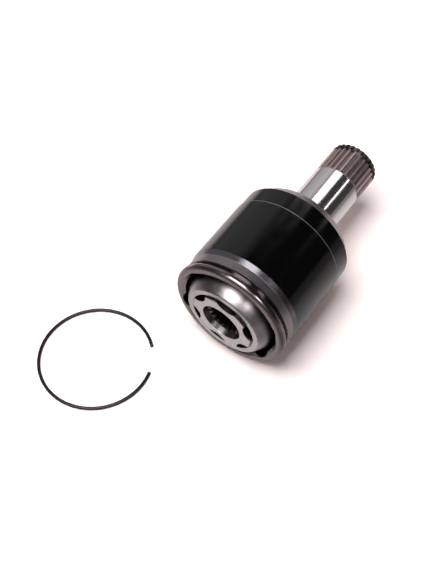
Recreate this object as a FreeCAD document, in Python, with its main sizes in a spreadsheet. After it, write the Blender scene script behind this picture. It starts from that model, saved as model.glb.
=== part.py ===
"""Inboard plunging constant-velocity joint (double-offset type), lying on its side.

The joint axis is X, from the open mouth (-X) to the splined stub shaft (+X), and Z is up.
The origin is the articulation centre: the middle of the ball ring, on the axis of the housing.
The cage sphere that runs in the housing is centred one offset towards the stub, and the cage
sphere that carries the inner race is centred one offset towards the mouth, so the balls are
always held in the plane that halves the angle between the two shafts.
"""
import FreeCAD, Part

import math
import os

import Sketcher

SIZES = {
    # the housing's bore, from which every other radius of the joint is stepped
    "land_radius": 28.5,
    # balls and where they run
    "ball_radius": 7.54,
    "ball_ring_depth": 5.5,
    "ball_count": 6,
    "ball_roll_angle": 42.4,
    "cage_offset": 2.0,
    "rest_tilt_angle": 4.9,
    "track_clearance": 0.05,
    "window_clearance": 0.08,
    "sphere_clearance": 0.06,
    # housing mouth, bead and boot seat
    "rim_length": 11.3,
    "mouth_chamfer": 1.6,
    "bead_wall": 5.5,
    "bead_round": 2.4,
    "bead_width": 4.3,
    "bead_back_round": 1.2,
    "neck_width": 1.5,
    "neck_depth": 2.1,
    "neck_wall": 0.55,
    "seat_wall": 4.7,
    "seat_width": 5.1,
    "shoulder_width": 3.35,
    # housing barrel and its closed end
    "barrel_wall": 5.5,
    "barrel_length": 38.7,
    "step_depth": 0.4,
    "rear_length": 11.0,
    "taper_length": 6.5,
    "taper_depth": 5.0,
    "cavity_depth": 46.0,
    "cavity_chamfer": 2.5,
    "track_end": 37.0,
    # stub shaft
    "journal_radius": 14.75,
    "journal_length": 36.4,
    "root_fillet": 2.0,
    "relief_depth": 0.25,
    "spline_length": 22.1,
    "runout_length": 2.6,
    "tooth_count": 26,
    "tooth_depth": 1.2,
    "end_chamfer": 0.8,
    "clip_distance": 3.4,
    "clip_wire": 0.8,
    "clip_depth": 0.3,
    "clip_gap_angle": 28.0,
    "centre_radius": 3.2,
    "centre_depth": 5.4,
    # both splines: width of a gap as a share of the pitch, and lean of its two faces
    "gap_share": 0.72,
    "flank_lean": 0.5,
    # retaining ring and its groove
    "ring_groove_depth": 2.4,
    "ring_spread_width": 0.5,
    "ring_wire": 0.95,
    "ring_gap_angle": 20.0,
    "ring_distance": 3.6,
    "groove_clearance": 0.1,
    "ring_x": -57.0,
    "ring_y": 57.0,
    "ring_turn_angle": -53.0,
    # cage
    "cage_wall": 4.95,
    "cage_front": 15.4,
    "cage_rear": 12.0,
    "cage_chamfer": 0.5,
    "window_length": 18.2,
    "window_corner": 3.0,
    # inner race
    "race_front": 16.2,
    "race_rear": 10.1,
    "race_chamfer": 0.5,
    "leadin_inset_depth": 10.9,
    "leadin_depth": 3.2,
    "bore_teeth": 20,
    "bore_inset_depth": 13.1,
    "bore_tooth_depth": 1.3,
    # how far cuts are carried past the material
    "cut_overrun": 1.0,
    "tooth_overrun": 0.4,
}
FULL_TURN = 360


class Size:
    """A number together with the sheet expression that gives it."""

    def __init__(self, text, value):
        self.text = text
        self.value = value

    def __add__(self, other):
        other = as_size(other)
        return Size(f"({self.text} + {other.text})", self.value + other.value)

    def __sub__(self, other):
        other = as_size(other)
        return Size(f"({self.text} - {other.text})", self.value - other.value)

    def __mul__(self, other):
        other = as_size(other)
        return Size(f"({self.text} * {other.text})", self.value * other.value)

    def __truediv__(self, other):
        other = as_size(other)
        return Size(f"({self.text} / {other.text})", self.value / other.value)

    def __neg__(self):
        return Size(f"(0 - {self.text})", -self.value)


def as_size(number):
    return number if isinstance(number, Size) else Size(repr(float(number)), float(number))


def root(size):
    return Size(f"sqrt({size.text})", math.sqrt(size.value))


def cosine(angle):
    return Size(f"cos({angle.text} * 1 deg)", math.cos(math.radians(angle.value)))


def sine(angle):
    return Size(f"sin({angle.text} * 1 deg)", math.sin(math.radians(angle.value)))


def sphere_height(along, centre, radius):
    """Distance from the axis to a sphere centred on it, at one station along the axis."""
    reach = along - centre
    return root(radius * radius - reach * reach)


doc = FreeCAD.newDocument("plunging_joint")
sheet = doc.addObject("Spreadsheet::Sheet", "sizes")
for row, (alias, number) in enumerate(SIZES.items(), start=1):
    sheet.set(f"A{row}", alias)
    sheet.set(f"B{row}", str(number))
    sheet.setAlias(f"B{row}", alias)
doc.recompute()


def size(alias):
    return Size(f"sizes.{alias}", float(sheet.get(alias)))


# ---------------------------------------------------------------- building blocks


def new_body(name):
    body = doc.addObject("PartDesign::Body", name)
    body.Label = name
    return body


def origin_feature(body, role):
    return next(item for item in body.Origin.OriginFeatures if item.Role == role)


def new_sketch(body, name, plane, offset=None):
    """Sketch on one of the body's own origin planes, moved along the plane's normal."""
    sketch = body.newObject("Sketcher::SketchObject", name)
    sketch.AttachmentSupport = [(origin_feature(body, plane), "")]
    sketch.MapMode = "FlatFace"
    if offset is not None:
        sketch.setExpression("AttachmentOffset.Base.z", offset.text)
    return sketch


def constrain(sketch, kind, *where, size):
    index = sketch.addConstraint(Sketcher.Constraint(kind, *where, size.value))
    sketch.setExpression(f"Constraints[{index}]", size.text)


def arc_between(start, end, radius, bulge):
    """Arc from start to end; bulge is 1 where it bows to the left of the way, -1 to the right."""
    chord = end - start
    left = FreeCAD.Vector(-chord.y, chord.x, 0).normalize()
    reach = math.sqrt(max(radius * radius - chord.Length * chord.Length / 4, 0.0))
    centre = start + chord / 2 - left * bulge * reach
    first, last = (end, start) if bulge > 0 else (start, end)
    opening = math.atan2(first.y - centre.y, first.x - centre.x)
    closing = math.atan2(last.y - centre.y, last.x - centre.x)
    if closing < opening:
        closing += 2 * math.pi
    circle = Part.Circle(centre, FreeCAD.Vector(0, 0, 1), radius)
    return Part.ArcOfCircle(circle, opening, closing)


class Bow:
    """Makes the side that leaves a corner an arc: bulge is 1 to the left of the way, -1 to the
    right, and an arc on a sphere about the joint axis has its centre held on that axis."""

    def __init__(self, radius, bulge, sphere=False):
        self.radius = radius
        self.bulge = bulge
        self.sphere = sphere


def draw_outline(sketch, corners):
    """Closed outline, whose corners are (across, up) or (across, up, Bow)."""
    points = [FreeCAD.Vector(corner[0].value, corner[1].value, 0) for corner in corners]
    bows = [corner[2] if len(corner) > 2 else None for corner in corners]
    sides = []
    ends = []
    for here, (start, bow) in enumerate(zip(points, bows)):
        end = points[(here + 1) % len(points)]
        side = Part.LineSegment(start, end)
        if bow:
            side = arc_between(start, end, bow.radius.value, bow.bulge)
        sides.append(sketch.addGeometry(side, False))
        drawn_from = sketch.Geometry[sides[-1]].StartPoint
        ends.append((1, 2) if drawn_from.distanceToPoint(start) < 1e-6 else (2, 1))
    for here, side in enumerate(sides):
        first, last = ends[here]
        after = (here + 1) % len(sides)
        sketch.addConstraint(
            Sketcher.Constraint("Coincident", side, last, sides[after], ends[after][0])
        )
        constrain(sketch, "DistanceX", -1, 1, side, first, size=corners[here][0])
        constrain(sketch, "DistanceY", -1, 1, side, first, size=corners[here][1])
        if bows[here] and bows[here].sphere:
            sketch.addConstraint(Sketcher.Constraint("PointOnObject", side, 3, -1))
        elif bows[here]:
            constrain(sketch, "Radius", side, size=bows[here].radius)


def draw_circle(sketch, across, up, radius):
    centre = FreeCAD.Vector(across.value, up.value, 0)
    circle = sketch.addGeometry(Part.Circle(centre, FreeCAD.Vector(0, 0, 1), radius.value), False)
    constrain(sketch, "DistanceX", -1, 1, circle, 3, size=across)
    constrain(sketch, "DistanceY", -1, 1, circle, 3, size=up)
    constrain(sketch, "Radius", circle, size=radius)


def revolve(body, name, sketch, axis="H_Axis", angle=None):
    turned = body.newObject("PartDesign::Revolution", name)
    turned.Profile = sketch
    turned.ReferenceAxis = (sketch, [axis])
    turned.Angle = FULL_TURN
    if angle is not None:
        turned.setExpression("Angle", angle.text)
    doc.recompute()
    return turned


def cut_along(body, name, sketch, length):
    """Pocket against the sketch's normal; it must take material away."""
    before = body.Shape.Volume
    pocket = body.newObject("PartDesign::Pocket", name)
    pocket.Profile = sketch
    pocket.Type = "Length"
    pocket.setExpression("Length", length.text)
    doc.recompute()
    if body.Shape.Volume >= before:
        raise RuntimeError(f"{name} cuts nothing")
    return pocket


def cut_between(body, name, first, last):
    """Loft cut from one sketch to another; it must take material away."""
    before = body.Shape.Volume
    loft = body.newObject("PartDesign::SubtractiveLoft", name)
    loft.Profile = first
    loft.Sections = [last]
    loft.Ruled = True
    doc.recompute()
    if body.Shape.Volume >= before:
        raise RuntimeError(f"{name} cuts nothing")
    return loft


def repeat_around_axis(body, name, features, count):
    pattern = body.newObject("PartDesign::PolarPattern", name)
    pattern.Originals = features
    pattern.Axis = (origin_feature(body, "X_Axis"), [""])
    pattern.Angle = FULL_TURN
    pattern.setExpression("Occurrences", count.text)
    body.Tip = pattern
    doc.recompute()
    return pattern


def draw_tooth_gap(sketch, root_radius, crest_radius, count, lift=as_size(0)):
    """Space between two spline teeth, narrowing to its floor, centred on the V axis.

    root_radius is the floor of the gap and crest_radius the ring that the gap opens through,
    outwards or inwards; lift raises the floor, as where a spline runs out.
    """
    pitch = as_size(2 * math.pi) * crest_radius / count
    outward = 1 if crest_radius.value > root_radius.value else -1
    depth = (crest_radius - root_radius) * outward
    mouth = pitch * size("gap_share") / 2
    floor = mouth - (depth - lift) * size("flank_lean")
    opening = mouth + size("tooth_overrun") * size("flank_lean")
    draw_outline(
        sketch,
        [
            (-opening, crest_radius + size("tooth_overrun") * outward),
            (-floor, root_radius + lift * outward),
            (floor, root_radius + lift * outward),
            (opening, crest_radius + size("tooth_overrun") * outward),
        ],
    )


# ---------------------------------------------------------------- stations along the axis

rim_face = -size("rim_length")
bead_back = rim_face + size("bead_width")
neck_floor = bead_back + size("neck_width")
seat_front = neck_floor + size("neck_wall")
seat_back = seat_front + size("seat_width")
barrel_front = seat_back + size("shoulder_width")
barrel_back = barrel_front + size("barrel_length")
rear_edge = barrel_back + size("rear_length")
rear_face = rear_edge + size("taper_length")
spline_front = rear_face + size("journal_length")
runout_end = spline_front + size("runout_length")
stub_end = spline_front + size("spline_length")
ring_groove = rim_face + size("ring_distance")
clip_groove = stub_end - size("clip_distance")

# ---------------------------------------------------------------- radii about the axis

bead_radius = size("land_radius") + size("bead_wall")
neck_radius = bead_radius - size("neck_depth")
seat_radius = size("land_radius") + size("seat_wall")
barrel_radius = size("land_radius") + size("barrel_wall")
rear_radius = barrel_radius - size("step_depth")
ring_groove_radius = size("land_radius") + size("ring_groove_depth")
spline_radius = size("journal_radius") - size("relief_depth")
root_radius = spline_radius - size("tooth_depth")
clip_floor = spline_radius - size("clip_depth") - size("clip_wire") * 2 - size("groove_clearance")

pitch_radius = size("land_radius") - size("ball_ring_depth")
groove_radius = size("ball_radius") + size("track_clearance")
cage_sphere = size("land_radius") - size("sphere_clearance")
cage_bore = size("land_radius") - size("cage_wall")
race_sphere = cage_bore - size("sphere_clearance")
bore_radius = pitch_radius - size("bore_inset_depth")
leadin_radius = pitch_radius - size("leadin_inset_depth")
teeth_radius = bore_radius + size("bore_tooth_depth")


# ---------------------------------------------------------------- housing


def housing_profile():
    """Half section of the forging, above the axis, from the mouth round to the cavity."""
    back_edge = bead_radius - size("bead_back_round")
    neck_fall = back_edge - neck_radius
    neck_arc = (size("neck_width") * size("neck_width") + neck_fall * neck_fall) / (neck_fall * 2)
    groove_half = size("ring_wire") + size("groove_clearance")
    clip_half = size("clip_wire") + size("groove_clearance")
    return [
        (rim_face, size("land_radius") + size("mouth_chamfer")),
        (rim_face, bead_radius - size("bead_round"), Bow(size("bead_round"), 1)),
        (rim_face + size("bead_round"), bead_radius),
        (bead_back - size("bead_back_round"), bead_radius, Bow(size("bead_back_round"), 1)),
        (bead_back, back_edge, Bow(neck_arc, -1)),
        (neck_floor, neck_radius),
        (seat_front, seat_radius),
        (seat_back, seat_radius),
        (barrel_front, barrel_radius),
        (barrel_back, barrel_radius),
        (barrel_back + size("step_depth"), rear_radius),
        (rear_edge, rear_radius),
        (rear_face, rear_radius - size("taper_depth")),
        (rear_face, size("journal_radius") + size("root_fillet"), Bow(size("root_fillet"), -1)),
        (rear_face + size("root_fillet"), size("journal_radius")),
        (spline_front - size("relief_depth"), size("journal_radius")),
        (spline_front, spline_radius),
        (clip_groove - clip_half, spline_radius),
        (clip_groove - clip_half, clip_floor),
        (clip_groove + clip_half, clip_floor),
        (clip_groove + clip_half, spline_radius),
        (stub_end - size("end_chamfer"), spline_radius),
        (stub_end, spline_radius - size("end_chamfer")),
        (stub_end, size("centre_radius")),
        (stub_end - size("centre_depth"), as_size(0)),
        (size("cavity_depth"), as_size(0)),
        (size("cavity_depth"), size("land_radius") - size("cavity_chamfer")),
        (size("cavity_depth") - size("cavity_chamfer"), size("land_radius")),
        (ring_groove + groove_half, size("land_radius")),
        (ring_groove + groove_half, ring_groove_radius),
        (ring_groove - groove_half, ring_groove_radius),
        (ring_groove - groove_half, size("land_radius")),
        (rim_face + size("mouth_chamfer"), size("land_radius")),
    ]


def make_housing():
    """Cup and stub shaft, one forging: turned outside, six straight ball tracks inside."""
    body = new_body("housing")
    outline = new_sketch(body, "housing_outline", "XY_Plane")
    draw_outline(outline, housing_profile())
    revolve(body, "housing_turning", outline)

    track = new_sketch(body, "track_outline", "YZ_Plane", size("track_end"))
    draw_circle(
        track,
        pitch_radius * cosine(size("ball_roll_angle")),
        pitch_radius * sine(size("ball_roll_angle")),
        groove_radius,
    )
    cut = cut_along(body, "track", track, size("track_end") - rim_face + size("cut_overrun"))
    repeat_around_axis(body, "tracks", [cut], size("ball_count"))

    gap = new_sketch(body, "tooth_gap_outline", "YZ_Plane", stub_end + size("cut_overrun"))
    draw_tooth_gap(gap, root_radius, spline_radius, size("tooth_count"))
    length = size("spline_length") - size("runout_length") + size("cut_overrun")
    cut = cut_along(body, "tooth_gap", gap, length)

    full_gap = new_sketch(body, "runout_start", "YZ_Plane", runout_end)
    draw_tooth_gap(full_gap, root_radius, spline_radius, size("tooth_count"))
    faded_gap = new_sketch(body, "runout_end", "YZ_Plane", spline_front)
    draw_tooth_gap(
        faded_gap, root_radius, spline_radius, size("tooth_count"), lift=size("tooth_depth")
    )
    runout = cut_between(body, "runout", full_gap, faded_gap)
    repeat_around_axis(body, "tooth_gaps", [cut, runout], size("tooth_count"))
    return body


# ---------------------------------------------------------------- cage


def make_cage():
    """Ring that holds the balls: ground spheres outside and inside, one window for each ball."""
    front = -size("cage_front")
    rear = size("cage_rear")
    edge = size("cage_chamfer")
    outer = size("cage_offset")
    inner = -size("cage_offset")
    body = new_body("cage")
    outline = new_sketch(body, "cage_outline", "XY_Plane")
    draw_outline(
        outline,
        [
            (front, sphere_height(front, inner, cage_bore)),
            (front, sphere_height(front + edge, outer, cage_sphere) - edge),
            (front + edge, sphere_height(front + edge, outer, cage_sphere), Bow(cage_sphere, 1, True)),
            (rear - edge, sphere_height(rear - edge, outer, cage_sphere)),
            (rear, sphere_height(rear - edge, outer, cage_sphere) - edge),
            (rear, sphere_height(rear, inner, cage_bore), Bow(cage_bore, -1, True)),
        ],
    )
    revolve(body, "cage_turning", outline)

    half_width = size("ball_radius") + size("window_clearance")
    half_length = size("window_length") / 2
    corner = size("window_corner")
    window = new_sketch(body, "window_outline", "XZ_Plane")
    draw_outline(
        window,
        [
            (-half_width, -half_length + corner),
            (-half_width, half_length - corner, Bow(corner, 1)),
            (-half_width + corner, half_length),
            (half_width - corner, half_length, Bow(corner, 1)),
            (half_width, half_length - corner),
            (half_width, -half_length + corner, Bow(corner, 1)),
            (half_width - corner, -half_length),
            (-half_width + corner, -half_length, Bow(corner, 1)),
        ],
    )
    cut = cut_along(body, "window", window, size("land_radius"))
    repeat_around_axis(body, "windows", [cut], size("ball_count"))
    return body


# ---------------------------------------------------------------- inner race


def make_inner_race():
    """Star-shaped race: ground sphere outside, straight ball grooves, splined bore."""
    front = -size("race_front")
    rear = size("race_rear")
    edge = size("race_chamfer")
    centre = -size("cage_offset")
    body = new_body("inner_race")
    outline = new_sketch(body, "race_outline", "XY_Plane")
    draw_outline(
        outline,
        [
            (front, leadin_radius),
            (front, sphere_height(front + edge, centre, race_sphere) - edge),
            (front + edge, sphere_height(front + edge, centre, race_sphere), Bow(race_sphere, 1, True)),
            (rear - edge, sphere_height(rear - edge, centre, race_sphere)),
            (rear, sphere_height(rear - edge, centre, race_sphere) - edge),
            (rear, teeth_radius),
            (rear - size("bore_tooth_depth"), bore_radius),
            (front + size("leadin_depth") + size("bore_tooth_depth"), bore_radius),
            (front + size("leadin_depth"), teeth_radius),
        ],
    )
    revolve(body, "race_turning", outline)

    groove = new_sketch(body, "groove_outline", "YZ_Plane", rear + size("cut_overrun"))
    draw_circle(groove, pitch_radius, as_size(0), groove_radius)
    cut = cut_along(body, "groove", groove, rear - front + size("cut_overrun") * 2)
    repeat_around_axis(body, "grooves", [cut], size("ball_count"))

    gap = new_sketch(body, "bore_gap_outline", "YZ_Plane", rear + size("cut_overrun"))
    draw_tooth_gap(gap, teeth_radius, bore_radius, size("bore_teeth"))
    length = rear - front - size("leadin_depth") + size("cut_overrun")
    cut = cut_along(body, "bore_gap", gap, length)
    repeat_around_axis(body, "bore_gaps", [cut], size("bore_teeth"))
    return body


# ---------------------------------------------------------------- balls and rings


def make_ball(number):
    ball = doc.addObject("Part::Sphere", f"ball_{number}")
    ball.Label = f"ball_{number}"
    ball.setExpression("Radius", size("ball_radius").text)
    return ball


def make_wire_ring(name, ring_radius, wire_radius, gap):
    """Open ring of round wire about Z, swept from the X axis to short of it by the gap."""
    body = new_body(name)
    section = new_sketch(body, f"{name}_wire", "XZ_Plane")
    draw_circle(section, ring_radius, as_size(0), wire_radius)
    revolve(body, f"{name}_sweep", section, axis="V_Axis", angle=as_size(FULL_TURN) - gap)
    return body


# ---------------------------------------------------------------- assembly


def axis_turn(axis, angle):
    return FreeCAD.Rotation(axis, angle)


def place_inner_parts(cage, race, balls):
    """Ball ring rolled about the joint axis; race tilted about the line through two opposite
    balls, cage by half as much about its own outer sphere, balls in the plane between."""
    roll = axis_turn(FreeCAD.Vector(1, 0, 0), size("ball_roll_angle").value)
    tilt_axis = FreeCAD.Vector(0, -1, 0)
    tilt = size("rest_tilt_angle").value
    race_turn = roll.multiply(axis_turn(tilt_axis, tilt))
    race.Placement = FreeCAD.Placement(FreeCAD.Vector(0, 0, 0), race_turn)

    cage_turn = roll.multiply(axis_turn(tilt_axis, tilt / 2))
    offset = FreeCAD.Vector(size("cage_offset").value, 0, 0)
    cage.Placement = FreeCAD.Placement(offset - cage_turn.multVec(offset), cage_turn)

    lean = math.tan(math.radians(tilt / 2))
    for place, ball in enumerate(balls):
        angle = 2 * math.pi * place / len(balls)
        side = pitch_radius.value * math.cos(angle)
        rise = pitch_radius.value * math.sin(angle)
        ball.Placement.Base = roll.multVec(FreeCAD.Vector(-rise * lean, side, rise))


def place_rings(retaining_ring, stop_ring):
    """The retaining ring lies flat beside the joint; the stop ring sits in the stub's groove."""
    floor = -max(barrel_radius.value, bead_radius.value)
    retaining_ring.Placement = FreeCAD.Placement(
        FreeCAD.Vector(size("ring_x").value, size("ring_y").value, floor + size("ring_wire").value),
        axis_turn(FreeCAD.Vector(0, 0, 1), size("ring_turn_angle").value),
    )
    stop_ring.Placement = FreeCAD.Placement(
        FreeCAD.Vector(clip_groove.value, 0, 0),
        axis_turn(FreeCAD.Vector(0, 1, 0), -90),
    )


housing = make_housing()
cage = make_cage()
inner_race = make_inner_race()
balls = [make_ball(number + 1) for number in range(int(size("ball_count").value))]
retaining_ring = make_wire_ring(
    "retaining_ring",
    ring_groove_radius + size("ring_spread_width"),
    size("ring_wire"),
    size("ring_gap_angle"),
)
stop_ring = make_wire_ring(
    "stop_ring",
    clip_floor + size("groove_clearance") / 2 + size("clip_wire"),
    size("clip_wire"),
    size("clip_gap_angle"),
)
place_inner_parts(cage, inner_race, balls)
place_rings(retaining_ring, stop_ring)
doc.recompute()

for item in doc.Objects:
    if {"Invalid", "Error"} & set(item.State):
        raise RuntimeError(f"{item.Name} failed: {item.State}")

sub_parts = [housing, cage, inner_race, *balls, retaining_ring, stop_ring]
os.makedirs("parts", exist_ok=True)
for sub_part in sub_parts:
    if sub_part.Shape.isNull() or not sub_part.Shape.isValid():
        raise RuntimeError(f"{sub_part.Label} has no valid shape")
for sub_part in sub_parts:
    sub_part.Shape.exportStep(f"parts/{sub_part.Label}.step")
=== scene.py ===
"""Studio scene of a plunging constant-velocity joint lying on its side.

Everything is in metres and in the frame of the CAD part: X runs along the joint from the open
mouth to the splined stub, Z is up, left is +Y, and the origin is the middle of the ball ring. Only
the stations and radii named below are in millimetres, and the named angles are in degrees.
"""

import math

import bmesh
import bpy
from mathutils import Matrix, Vector


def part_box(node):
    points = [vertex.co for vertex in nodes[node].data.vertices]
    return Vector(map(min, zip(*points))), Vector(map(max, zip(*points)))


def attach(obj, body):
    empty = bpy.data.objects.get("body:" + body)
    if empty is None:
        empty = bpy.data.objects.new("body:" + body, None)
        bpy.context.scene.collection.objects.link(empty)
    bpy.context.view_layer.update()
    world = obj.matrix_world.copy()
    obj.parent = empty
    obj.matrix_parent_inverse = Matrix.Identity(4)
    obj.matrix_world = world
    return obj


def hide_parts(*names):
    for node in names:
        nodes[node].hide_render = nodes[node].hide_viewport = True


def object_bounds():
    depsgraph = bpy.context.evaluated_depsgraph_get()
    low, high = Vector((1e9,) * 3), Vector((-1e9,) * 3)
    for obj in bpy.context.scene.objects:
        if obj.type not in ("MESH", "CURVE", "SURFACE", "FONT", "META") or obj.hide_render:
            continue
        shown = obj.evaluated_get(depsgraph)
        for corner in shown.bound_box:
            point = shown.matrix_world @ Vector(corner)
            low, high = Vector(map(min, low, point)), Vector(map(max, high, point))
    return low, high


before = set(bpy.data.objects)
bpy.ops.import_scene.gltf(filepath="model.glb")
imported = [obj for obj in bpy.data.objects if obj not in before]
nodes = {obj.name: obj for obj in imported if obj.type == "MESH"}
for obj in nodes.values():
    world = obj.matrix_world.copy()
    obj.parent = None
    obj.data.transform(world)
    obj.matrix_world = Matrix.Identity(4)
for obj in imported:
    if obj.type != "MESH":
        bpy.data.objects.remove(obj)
cad_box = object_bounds()

MM = 0.001
FLOOR_Z = cad_box[0][2]

# Stations along the housing, in millimetres from the origin, where its finish changes
RIM_FRONT = -12.0
BEAD_FRONT = -10.2
SEAT_FRONT = -5.0
SEAT_BACK = 0.15
COAT_FRONT = 3.0
WORN_STEP_FRONT = 42.15
WORN_STEP_BACK = 42.65
COAT_BACK = 53.2
JOURNAL_FRONT = 60.3
SPLINE_FRONT = 95.9
CLIP_GROOVE = 114.0

# The hollow inside the cup, painted dark as shade, and the gaps between the stub's teeth, painted
# darker as shade, in millimetres
HOLLOW_FRONT = -9.7
HOLLOW_BACK = 50.0
HOLLOW_RADIUS = 31.2
GAP_RADIUS = 13.35
TOOTH_RADIUS = 13.75

# Front faces of the race and of the straight cage, and the centre that the cage turns about, as
# stations in millimetres
RACE_FACE = -16.2
CAGE_FACE = -15.4
CAGE_CENTRE = 2.0

RACE_TILT = 4.9
BALL_ROLL = 42.4

# Loose ring: angle of one end about its centre, and the arc from it round to the other, in degrees
RING_END = -42.5
RING_ARC = 329.7
RING_STEPS = 132
WIRE_SIDES = 16


# ---------------------------------------------------------------- node helpers


class Tree:
    """Short ways to add and join the nodes of one material or world."""

    def __init__(self, owner):
        owner.use_nodes = True
        self.nodes = owner.node_tree.nodes
        self.links = owner.node_tree.links

    def add(self, kind, inputs=None, **settings):
        node = self.nodes.new(kind)
        for name, value in settings.items():
            setattr(node, name, value)
        for socket, value in (inputs or {}).items():
            self.feed(node.inputs[socket], value)
        return node

    def feed(self, socket, value):
        if isinstance(value, bpy.types.NodeSocket):
            self.links.new(value, socket)
        else:
            socket.default_value = value

    def place(self):
        return self.add("ShaderNodeTexCoord").outputs["Object"]

    def split(self, vector):
        return self.add("ShaderNodeSeparateXYZ", {0: vector}).outputs

    def math(self, operation, *values):
        node = self.add("ShaderNodeMath", operation=operation)
        for socket, value in zip(node.inputs, values):
            self.feed(socket, value)
        return node.outputs[0]

    def vector_math(self, operation, *vectors):
        inputs = dict(enumerate(vectors))
        node = self.add("ShaderNodeVectorMath", inputs, operation=operation)
        return node.outputs["Value"]

    def between(self, value, low, high, result_low=0.0, result_high=1.0, curve="SMOOTHSTEP"):
        """Goes from one result to the other while the value goes from low to high."""
        node = self.add("ShaderNodeMapRange", interpolation_type=curve)
        for socket, number in zip(node.inputs, (value, low, high, result_low, result_high)):
            self.feed(socket, number)
        return node.outputs["Result"]

    def mix(self, factor, first, second, kind="RGBA"):
        node = self.add("ShaderNodeMix", data_type=kind)
        self.feed(node.inputs["Factor"], factor)
        self.feed(node.inputs["A"], first)
        self.feed(node.inputs["B"], second)
        return node.outputs["Result"]

    def ramp(self, value, stops, interpolation="LINEAR"):
        """Colour that follows a value from 0 to 1 through stops of a place and a colour."""
        node = self.add("ShaderNodeValToRGB", {"Fac": value})
        node.color_ramp.interpolation = interpolation
        elements = node.color_ramp.elements
        while len(elements) < len(stops):
            elements.new(1.0)
        for element, (place, colour) in zip(elements, stops):
            element.position = place
            element.color = colour
        return node.outputs["Color"]

    def steps(self, along, stops):
        """Colour of the last station that a place along X has passed; stations in millimetres."""
        low = stops[0][0]
        high = stops[-1][0] + 1.0
        share = self.between(along, low * MM, high * MM, curve="LINEAR")
        shares = [((station - low) / (high - low), colour) for station, colour in stops]
        return self.ramp(share, shares, "CONSTANT")

    def noise(self, vector, scale, detail=2.0, stretch=(1.0, 1.0, 1.0)):
        """Noise of about one metre over scale, drawn out along an axis whose stretch is small."""
        mapping = self.add("ShaderNodeMapping", {"Vector": vector, "Scale": stretch})
        node = self.add(
            "ShaderNodeTexNoise",
            {"Vector": mapping.outputs[0], "Scale": scale, "Detail": detail},
        )
        return node.outputs["Fac"]

    def bump(self, height, depth):
        node = self.add("ShaderNodeBump", {"Height": height, "Distance": depth})
        return node.outputs["Normal"]


def grey(value, blush=0.0, chill=0.0):
    """Neutral colour of that linear value, with its red and its blue raised by a share of it."""
    return (value * (1 + blush), value, value * (1 + chill), 1.0)


def new_material(name):
    material = bpy.data.materials.new(name)
    tree = Tree(material)
    shader = tree.nodes["Principled BSDF"]
    return material, tree, shader


def paint(node, material):
    nodes[node].data.materials[0] = material


def joint_axis(tilt):
    """Direction, towards the stub, of a piece tilted by so many degrees in the ball ring."""
    roll = Matrix.Rotation(math.radians(BALL_ROLL), 3, "X")
    return roll @ Matrix.Rotation(math.radians(-tilt), 3, "Y") @ Vector((1, 0, 0))


# ---------------------------------------------------------------- materials


def zone(colour, roughness, metallic=1.0):
    """A zone's colour, and a second colour that carries its roughness and its metallic share."""
    return colour, (roughness, metallic, 0, 1)


def housing_zones():
    """Finishes along the housing, each with the station where it starts."""
    coat = zone(grey(0.0005), roughness=0.14, metallic=0.0)
    return (
        (RIM_FRONT, zone(grey(0.15, 0.20, 0.02), roughness=0.30)),
        (BEAD_FRONT, zone(grey(0.17, 0.20, 0.03), roughness=0.16)),
        (SEAT_FRONT, zone(grey(0.22, 0.12, 0.04), roughness=0.34)),
        (SEAT_BACK, zone(grey(0.15, 0.04, 0.10), roughness=0.24)),
        (COAT_FRONT, coat),
        (WORN_STEP_FRONT, zone(grey(0.18, 0.06), roughness=0.35, metallic=0.6)),
        (WORN_STEP_BACK, coat),
        (COAT_BACK, zone(grey(0.26, 0.12, 0.02), roughness=0.32)),
        (JOURNAL_FRONT, zone(grey(0.64, 0.06, 0.02), roughness=0.15)),
        (SPLINE_FRONT, zone(grey(0.42, 0.30), roughness=0.42)),
        # painted shade: the toothed end beyond the clip groove is painted darker than the teeth
        # before it
        (CLIP_GROOVE, zone(grey(0.11, 0.04, 0.04), roughness=0.36)),
    )


def housing_steel():
    """Black coat on the barrel, turned and ground steel before and behind it."""
    material, tree, shader = new_material("housing_finish")
    place = tree.place()
    along, side, up = tree.split(place)
    across = tree.add("ShaderNodeCombineXYZ", {"Y": side, "Z": up}).outputs[0]
    radius = tree.vector_math("LENGTH", across)

    zones = housing_zones()
    colour = tree.steps(along, [(start, tone) for start, (tone, _) in zones])
    surface = tree.steps(along, [(start, surface) for start, (_, surface) in zones])
    surface = tree.add("ShaderNodeSeparateColor", {0: surface})
    roughness = surface.outputs["Red"]
    metallic = surface.outputs["Green"]

    # painted shade: the ground land and tracks inside the mouth are painted nearly black, as shade
    # in the cup's hollow
    behind_rim = tree.math("GREATER_THAN", along, HOLLOW_FRONT * MM)
    before_end = tree.math("LESS_THAN", along, HOLLOW_BACK * MM)
    within = tree.math("LESS_THAN", radius, HOLLOW_RADIUS * MM)
    inside = tree.math("MULTIPLY", tree.math("MULTIPLY", behind_rim, before_end), within)
    colour = tree.mix(inside, colour, grey(0.02, 0.05))
    roughness = tree.mix(inside, roughness, 0.35, "FLOAT")

    # painted shade: the gaps between the teeth are painted darker than the crests
    on_spline = tree.math("GREATER_THAN", along, SPLINE_FRONT * MM)
    gap_shade = tree.between(radius, GAP_RADIUS * MM, TOOTH_RADIUS * MM, 1.0, 0.0)
    gap_shade = tree.math("MULTIPLY", on_spline, gap_shade)
    colour = tree.mix(gap_shade, colour, grey(0.19, 0.25))

    # turning marks run round the axis, so the noise is fine along X and drawn out across it
    lathe = tree.noise(place, scale=5200, stretch=(1.0, 0.03, 0.03))
    mottle = tree.noise(place, scale=260, detail=4.0)
    uneven = tree.between(mottle, 0.3, 0.7, -0.025, 0.025)
    bare = tree.math("MULTIPLY", metallic, lathe)

    tree.feed(shader.inputs["Base Color"], colour)
    tree.feed(shader.inputs["Roughness"], tree.math("ADD", roughness, uneven))
    tree.feed(shader.inputs["Metallic"], metallic)
    tree.feed(shader.inputs["Normal"], tree.bump(bare, depth=0.002 * MM))
    shader.inputs["Specular IOR Level"].default_value = 0.36
    return material


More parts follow.
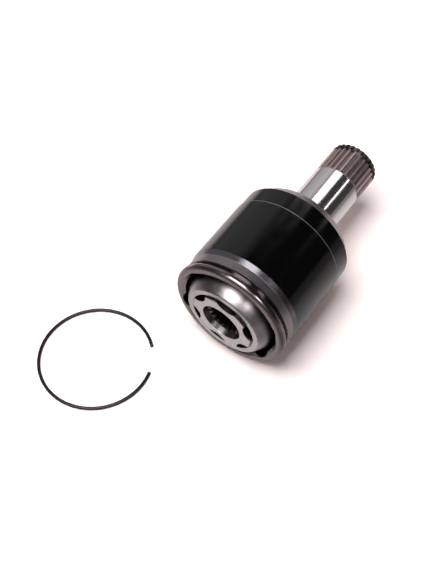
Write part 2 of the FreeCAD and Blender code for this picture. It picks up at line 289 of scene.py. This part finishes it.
def ground_steel(name, axis, face, face_tone, side_tone, face_roughness, side_roughness):
    """Steel with a flat face, ground across, and spherical or grooved sides."""
    face_edge = ((face + 0.1) * MM, (face + 0.2) * MM)
    shade_edge = ((face + 3.2) * MM, (face + 6.5) * MM)
    material, tree, shader = new_material(name)
    place = tree.place()
    along = tree.vector_math("DOT_PRODUCT", place, axis)
    on_face = tree.between(along, *face_edge, 1.0, 0.0)

    grain = tree.noise(place, scale=2600, stretch=(1.0, 0.12, 1.0))
    mottle = tree.noise(place, scale=300, detail=4.0)
    scratch_tone = grey(face_tone[1] * 0.8, 0.03)
    face_colour = tree.mix(tree.between(grain, 0.35, 0.65), face_tone, scratch_tone)

    # painted shade: the sides are painted darker where they run inside the next piece
    side_colour = tree.mix(tree.between(along, *shade_edge), side_tone, grey(0.05, 0.15))
    roughness = tree.mix(on_face, side_roughness, face_roughness, "FLOAT")
    uneven = tree.between(mottle, 0.3, 0.7, -0.03, 0.03)

    tree.feed(shader.inputs["Base Color"], tree.mix(on_face, side_colour, face_colour))
    tree.feed(shader.inputs["Roughness"], tree.math("ADD", roughness, uneven))
    shader.inputs["Metallic"].default_value = 1.0
    tree.feed(shader.inputs["Normal"], tree.bump(grain, depth=0.001 * MM))
    return material


def polished_steel():
    material, tree, shader = new_material("ball_finish")
    haze = tree.noise(tree.place(), scale=420, detail=5.0)
    tree.feed(shader.inputs["Base Color"], tree.mix(haze, grey(0.52, 0.02), grey(0.6)))
    tree.feed(shader.inputs["Roughness"], tree.between(haze, 0.3, 0.7, 0.05, 0.1))
    shader.inputs["Metallic"].default_value = 1.0
    return material


def black_wire():
    material, tree, shader = new_material("wire_finish")
    scale = tree.noise(tree.place(), scale=900, detail=4.0)
    tree.feed(shader.inputs["Base Color"], tree.mix(scale, grey(0.003), grey(0.009)))
    tree.feed(shader.inputs["Roughness"], tree.between(scale, 0.3, 0.7, 0.3, 0.42))
    shader.inputs["Metallic"].default_value = 0.2
    tree.feed(shader.inputs["Normal"], tree.bump(scale, depth=0.01 * MM))
    return material


# ---------------------------------------------------------------- pieces


def loose_ring(finish):
    """Stands for the loose ring, whose ends lie further apart than the solid's."""
    low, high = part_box("retaining_ring")
    centre = (low + high) / 2
    wire = (high.z - low.z) / 2
    radius = (high.x - low.x) / 2 - wire
    shape = bmesh.new()
    loops = []
    for step in range(RING_STEPS + 1):
        angle = math.radians(RING_END + RING_ARC * step / RING_STEPS)
        outward = Vector((math.cos(angle), math.sin(angle), 0))
        loop = []
        for side in range(WIRE_SIDES):
            turn = 2 * math.pi * side / WIRE_SIDES
            rise = Vector((0, 0, wire * math.sin(turn)))
            reach = outward * (radius + wire * math.cos(turn))
            loop.append(shape.verts.new(centre + reach + rise))
        loops.append(loop)
    for near, far in zip(loops, loops[1:]):
        for side in range(WIRE_SIDES):
            face = shape.faces.new((near[side - 1], near[side], far[side], far[side - 1]))
            face.smooth = True
    shape.faces.new(loops[0])
    shape.faces.new(loops[-1])
    bmesh.ops.recalc_face_normals(shape, faces=shape.faces)
    data = bpy.data.meshes.new("loose_ring")
    shape.to_mesh(data)
    shape.free()
    data.materials.append(finish)
    ring = bpy.data.objects.new("loose_ring", data)
    bpy.context.collection.objects.link(ring)
    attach(ring, "cup")
    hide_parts("retaining_ring")


def finish_pieces():
    wire = black_wire()
    ball = polished_steel()
    cage_axis = joint_axis(RACE_TILT / 2)
    paint("housing", housing_steel())
    paint("inner_race", ground_steel(
        "race_finish",
        axis=joint_axis(RACE_TILT),
        face=RACE_FACE,
        face_tone=grey(0.44, 0.13),
        # painted shade: the race's sides and grooves, down inside the cage, are painted much
        # darker than its face
        side_tone=grey(0.08, 0.1),
        face_roughness=0.36,
        side_roughness=0.3,
    ))
    # the cage turns about its own sphere's centre, so its face lies a little off the tilted axis
    paint("cage", ground_steel(
        "cage_finish",
        axis=cage_axis,
        face=CAGE_FACE + CAGE_CENTRE * (cage_axis.x - 1.0),
        face_tone=grey(0.42, 0.06),
        side_tone=grey(0.33, 0.12, 0.05),
        face_roughness=0.34,
        side_roughness=0.31,
    ))
    for name in nodes:
        if name.startswith("ball_"):
            paint(name, ball)
        if name.endswith("_ring"):
            paint(name, wire)
    loose_ring(wire)


# ---------------------------------------------------------------- studio


def white_floor():
    """White table top that keeps the joint's shadow. Away from the joint it is plain white to the
    camera, and steel sees it bright on the left and fading to the dim room on the right."""
    bpy.ops.mesh.primitive_plane_add(size=8.0, location=(0, 0, FLOOR_Z))
    floor = bpy.context.object
    floor.name = "floor"
    material, tree, _ = new_material("floor_white")
    place = tree.place()
    along, side, _ = tree.split(place)
    ray = tree.add("ShaderNodeLightPath").outputs
    to_camera = ray["Is Camera Ray"]
    to_steel = ray["Is Glossy Ray"]
    from_joint = tree.vector_math("DISTANCE", place, (0.03, 0.0, 0.0))
    from_pool = tree.vector_math("DISTANCE", place, (0.0, 0.09, 0.0))

    # the lift makes up for the key's falling off, fully to the camera and partly to steel
    glow = tree.between(from_joint, 0.10, 0.22, 0.12, 1.0)
    seen_lift = tree.math("ADD", to_camera, tree.math("MULTIPLY", to_steel, 0.45))
    lift_share = tree.math("MULTIPLY", glow, seen_lift)
    # the key doesn't reach the far table, so its lift is plain white there
    far_off = tree.between(from_joint, 0.5, 1.5)
    lift_colour = tree.mix(far_off, (1.0, 0.7, 0.66, 1), grey(1.2))
    lift = tree.add("ShaderNodeEmission", {"Color": lift_colour, "Strength": lift_share})
    table = tree.mix(to_camera, (0.97, 0.93, 0.925, 1), (1.34, 1.23, 1.215, 1))
    white = tree.add("ShaderNodeBsdfDiffuse", {"Color": table})
    lit = tree.add("ShaderNodeAddShader", {0: white.outputs[0], 1: lift.outputs[0]})

    # painted pool of light: to steel only, the table is swapped for a dim emission beyond a pool
    # at the left, and before the mouth on either side of it
    beyond_pool = tree.between(from_pool, 0.12, 0.36, 0.0, 0.85)
    before_mouth = tree.between(along, -0.03, 0.07, 0.8, 0.0)
    far_left = tree.between(side, 0.06, 0.20)
    right = tree.between(side, -0.06, -0.015, 1.0, 0.0)
    beside = tree.math("MULTIPLY", before_mouth, tree.math("MAXIMUM", far_left, right))
    unlit = tree.math("MULTIPLY", tree.math("MAXIMUM", beyond_pool, beside), to_steel)
    dim = tree.add("ShaderNodeEmission", {"Color": grey(0.14)})
    both = tree.add("ShaderNodeMixShader", {0: unlit, 1: lit.outputs[0], 2: dim.outputs[0]})
    tree.feed(tree.nodes["Material Output"].inputs["Surface"], both.outputs[0])
    floor.data.materials.append(material)


def studio_walls():
    """A pale wall on the left beyond the stub, and a dark room elsewhere, both seen in the metal;
    the camera itself sees white."""
    world = bpy.data.worlds.new("studio")
    bpy.context.scene.world = world
    tree = Tree(world)
    direction = tree.add("ShaderNodeTexCoord").outputs["Generated"]
    along, side, up = tree.split(direction)
    # share of a half turn about X: 0 at the left horizon, half overhead, 1 at the right horizon
    angle = tree.math("DIVIDE", tree.math("ARCTAN2", up, side), math.pi)
    pale_wall = ((0.0, grey(0.42)), (0.17, grey(0.54)), (0.29, grey(0.62)))
    dark_room = ((0.41, grey(0.05)), (1.0, grey(0.05)))
    beyond_stub = tree.between(along, -0.1, 0.35)
    room = tree.mix(beyond_stub, grey(0.08), tree.ramp(angle, pale_wall + dark_room))
    to_camera = tree.add("ShaderNodeLightPath").outputs["Is Camera Ray"]
    background = tree.nodes["Background"]
    tree.feed(background.inputs["Color"], tree.mix(to_camera, room, grey(1.0)))


def softbox(name, target, centre, length, width, radiance):
    """Rectangular lamp with its long side nearest to X, facing the target; sizes in metres."""
    data = bpy.data.lights.new(name, "AREA")
    data.shape = "RECTANGLE"
    data.size = length
    data.size_y = width
    data.energy = radiance * math.pi * length * width
    lamp = bpy.data.objects.new(name, data)
    bpy.context.collection.objects.link(lamp)
    back = (Vector(centre) - Vector(target)).normalized()
    long_side = Vector((1, 0, 0))
    long_side = (long_side - back * long_side.dot(back)).normalized()
    short_side = back.cross(long_side)
    turn = Matrix((long_side, short_side, back)).transposed().to_4x4()
    lamp.matrix_world = Matrix.Translation(Vector(centre)) @ turn
    return lamp


def lamps():
    """A soft key from the upper left lights the table and casts the shadow. The others are seen
    only in the metal: a broad box and a narrow strip over the mouth, and the same over the stub,
    with a gap between them that leaves the barrel's coat black."""
    middle = Vector((0.02, 0.0, FLOOR_Z))
    mouth = Vector((-0.01, 0.0, 0.03))
    stub = Vector((0.082, 0.0, 0.0))
    over_middle = middle + Vector((-0.220, 0.090, 0.971)) * 1.15
    over_stub = stub + Vector((0.590, 0.070, 0.80)) * 0.9
    right_of_stub = stub + Vector((0.592, -0.607, 0.534)) * 0.9
    over_mouth = (-0.42, 0.05, 1.15)
    right_of_mouth = (-0.50, -0.96, 1.08)
    key = softbox("key", middle, over_middle, length=0.65, width=0.65, radiance=9.4)
    key.visible_glossy = False
    gleams = (
        softbox("mouth_box", mouth, over_mouth, length=1.1, width=0.70, radiance=8.0),
        softbox("mouth_strip", mouth, right_of_mouth, length=0.9, width=0.3, radiance=8.0),
        softbox("stub_box", stub, over_stub, length=0.11, width=0.43, radiance=2.6),
        softbox("stub_strip", stub, right_of_stub, length=0.11, width=0.075, radiance=3.6),
    )
    for lamp in gleams:
        lamp.visible_diffuse = False


def camera():
    """Long-lens camera in front of the mouth, above it and to its right, aimed between the joint
    and the loose ring."""
    azimuth = math.radians(-53.0)
    elevation = math.radians(54.86)
    roll = math.radians(-2.14)
    distance = 0.56185
    target = Vector((0.0198, 0.0317, FLOOR_Z))
    back = Vector((
        math.sin(azimuth) * math.cos(elevation),
        -math.cos(azimuth) * math.cos(elevation),
        math.sin(elevation),
    ))
    right = Vector((0, 0, 1)).cross(back).normalized()
    up = back.cross(right)
    turn = Matrix((right, up, back)).transposed() @ Matrix.Rotation(roll, 3, "Z")
    data = bpy.data.cameras.new("camera")
    data.sensor_width = 36.0
    data.lens = 61.3
    data.clip_start = 0.01
    eye = bpy.data.objects.new("camera", data)
    bpy.context.collection.objects.link(eye)
    eye.matrix_world = Matrix.Translation(target + back * distance) @ turn.to_4x4()
    bpy.context.scene.camera = eye


finish_pieces()
white_floor()
studio_walls()
lamps()
camera()
bpy.context.scene.view_settings.view_transform = "Standard"
